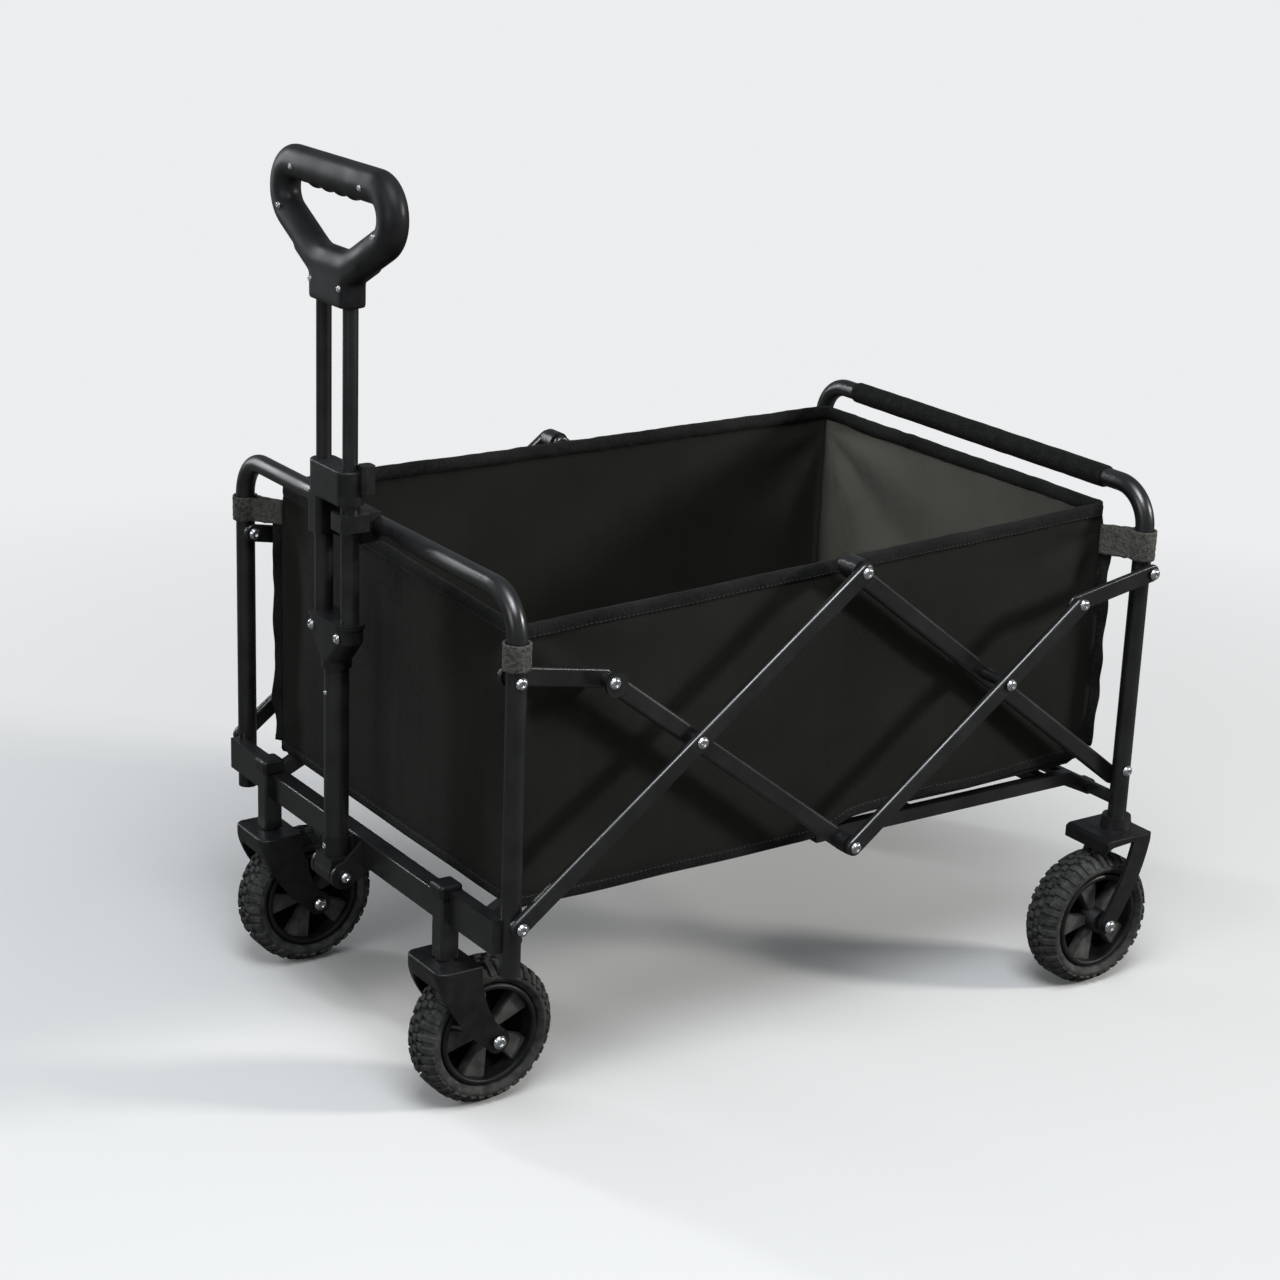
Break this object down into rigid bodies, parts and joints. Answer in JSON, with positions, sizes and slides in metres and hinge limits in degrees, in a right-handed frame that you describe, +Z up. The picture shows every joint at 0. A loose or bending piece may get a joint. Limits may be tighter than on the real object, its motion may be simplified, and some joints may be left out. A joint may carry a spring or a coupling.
{
  "type": "folding garden wagon",
  "caption": "Folding wagon: a fabric bag between two tube hoops, scissor side linkage, swivelling front wheels and a telescopic pull handle.",
  "frame": {"origin": "on the ground, midway between the front and rear posts and between the two sides", "axes": "+X to the pull handle's end, +Y to the left side, +Z up; opened out, the handle upright"},
  "size_m": [0.869, 0.633, 0.903],
  "materials": {
    "painted_frame": "glossy black powder coat on steel tube",
    "black_plastic": "satin black moulded plastic",
    "bag_fabric": "near-black woven polyester",
    "strap_fabric": "black textured webbing",
    "foam": "black foam sleeve",
    "tyre": "black moulded tyre with block tread",
    "grip_plastic": "smooth black moulded grip"
  },
  "bodies": {
    "front_frame": {"front_hoop": "painted_frame", "front_cross": "painted_frame", "front_pivot_tube": "painted_frame", "socket_cap_left": "black_plastic", "socket_cap_right": "black_plastic", "handle_bracket": "painted_frame", "front_sleeve_left": "strap_fabric", "front_sleeve_right": "strap_fabric", "bag": "bag_fabric"},
    "rear_frame": {"rear_hoop": "painted_frame", "rear_pivot_tube": "painted_frame", "rear_fork_left": "black_plastic", "rear_fork_right": "black_plastic", "rail_foam": "foam", "rear_sleeve_left": "strap_fabric", "rear_sleeve_right": "strap_fabric"},
    "long_front_bars": {"long_front_left": "painted_frame", "long_front_right": "painted_frame"},
    "long_rear_bars": {"long_rear_left": "painted_frame", "long_rear_right": "painted_frame"},
    "cross_front_bars": {"cross_front_left": "painted_frame", "cross_front_right": "painted_frame"},
    "cross_rear_bars": {"cross_rear_left": "painted_frame", "cross_rear_right": "painted_frame"},
    "front_links": {"link_front_left": "painted_frame", "link_front_right": "painted_frame"},
    "rear_links": {"link_rear_left": "painted_frame", "link_rear_right": "painted_frame"},
    "front_floor": {"floor_front": "painted_frame"},
    "rear_floor": {"floor_rear": "painted_frame"},
    "castor_left": {"castor_fork_left": "black_plastic"},
    "castor_right": {"castor_fork_right": "black_plastic"},
    "wheel_front_left": {"tyre_front_left": "tyre", "hub_front_left": "black_plastic"},
    "wheel_front_right": {"tyre_front_right": "tyre", "hub_front_right": "black_plastic"},
    "wheel_rear_left": {"tyre_rear_left": "tyre", "hub_rear_left": "black_plastic"},
    "wheel_rear_right": {"tyre_rear_right": "tyre", "hub_rear_right": "black_plastic"},
    "handle": {"handle_foot": "black_plastic", "handle_tube": "painted_frame", "handle_joint": "black_plastic", "outer_tube_left": "painted_frame", "outer_tube_right": "painted_frame", "rail_clamp": "black_plastic"},
    "handle_grip": {"inner_tube_left": "painted_frame", "inner_tube_right": "painted_frame", "grip": "grip_plastic"}
  },
  "joints": [
    {"name": "fold", "type": "hinge", "parent": "front_frame", "child": "long_front_bars", "pos_m": [0.386, 0, 0.228], "axis": [0, 1, 0], "range_deg": [0, 36.9], "deforming": ["bag"]},
    {"name": "fold_top_pin", "type": "hinge", "parent": "long_front_bars", "child": "long_rear_bars", "pos_m": [0, 0, 0.52], "axis": [0, 1, 0], "range_deg": [-74, 0.2]},
    {"name": "fold_rear_post", "type": "hinge", "parent": "long_rear_bars", "child": "rear_frame", "pos_m": [-0.386, 0, 0.228], "axis": [0, 1, 0], "range_deg": [-0.2, 37.1]},
    {"name": "fold_front_cross", "type": "hinge", "parent": "long_front_bars", "child": "cross_front_bars", "pos_m": [0.18821, 0, 0.37762], "axis": [0, 1, 0], "range_deg": [-74, 0.2]},
    {"name": "fold_rear_cross", "type": "hinge", "parent": "long_rear_bars", "child": "cross_rear_bars", "pos_m": [-0.18821, 0, 0.37762], "axis": [0, 1, 0], "range_deg": [-0.2, 74]},
    {"name": "fold_front_link", "type": "hinge", "parent": "front_frame", "child": "front_links", "pos_m": [0.386, 0, 0.466], "axis": [0, 1, 0], "range_deg": [-0.2, 82.08]},
    {"name": "fold_rear_link", "type": "hinge", "parent": "rear_frame", "child": "rear_links", "pos_m": [-0.386, 0, 0.466], "axis": [0, 1, 0], "range_deg": [-82.08, 0.2]},
    {"name": "fold_front_floor", "type": "hinge", "parent": "front_frame", "child": "front_floor", "pos_m": [0.38, 0, 0.207], "axis": [0, 1, 0], "range_deg": [-0.2, 70.62]},
    {"name": "fold_rear_floor", "type": "hinge", "parent": "rear_frame", "child": "rear_floor", "pos_m": [-0.38, 0, 0.207], "axis": [0, 1, 0], "range_deg": [-70.62, 0.2]},
    {"name": "castor_swivel_left", "type": "hinge", "parent": "front_frame", "child": "castor_left", "pos_m": [0.404, 0.188, 0.2], "axis": [0, 0, 1], "continuous": true},
    {"name": "front_wheel_left_spin", "type": "hinge", "parent": "castor_left", "child": "wheel_front_left", "pos_m": [0.363, 0.188, 0.075], "axis": [0, 1, 0], "continuous": true},
    {"name": "castor_swivel_right", "type": "hinge", "parent": "front_frame", "child": "castor_right", "pos_m": [0.404, -0.188, 0.2], "axis": [0, 0, 1], "continuous": true},
    {"name": "front_wheel_right_spin", "type": "hinge", "parent": "castor_right", "child": "wheel_front_right", "pos_m": [0.363, -0.188, 0.075], "axis": [0, 1, 0], "continuous": true},
    {"name": "rear_wheel_left_spin", "type": "hinge", "parent": "rear_frame", "child": "wheel_rear_left", "pos_m": [-0.354, 0.278, 0.075], "axis": [0, 1, 0], "continuous": true},
    {"name": "rear_wheel_right_spin", "type": "hinge", "parent": "rear_frame", "child": "wheel_rear_right", "pos_m": [-0.354, -0.278, 0.075], "axis": [0, 1, 0], "continuous": true},
    {"name": "handle_tilt", "type": "hinge", "parent": "front_frame", "child": "handle", "pos_m": [0.426, 0, 0.186], "axis": [0, 1, 0], "range_deg": [0, 90]},
    {"name": "handle_slide", "type": "slide", "parent": "handle", "child": "handle_grip", "axis": [0, 0, 1], "range_m": [-0.135, 0]}
  ],
  "couplings": [
    {"joint": "fold_top_pin", "follows": "fold", "ratio": -2},
    {"joint": "fold_rear_post", "follows": "fold", "ratio": 1},
    {"joint": "fold_front_cross", "follows": "fold", "ratio": -2},
    {"joint": "fold_rear_cross", "follows": "fold", "ratio": 2},
    {"joint": "fold_front_link", "follows": "fold", "ratio": 2.2189},
    {"joint": "fold_rear_link", "follows": "fold", "ratio": -2.2189},
    {"joint": "fold_front_floor", "follows": "fold", "ratio": 1.9084},
    {"joint": "fold_rear_floor", "follows": "fold", "ratio": -1.9084}
  ]
}
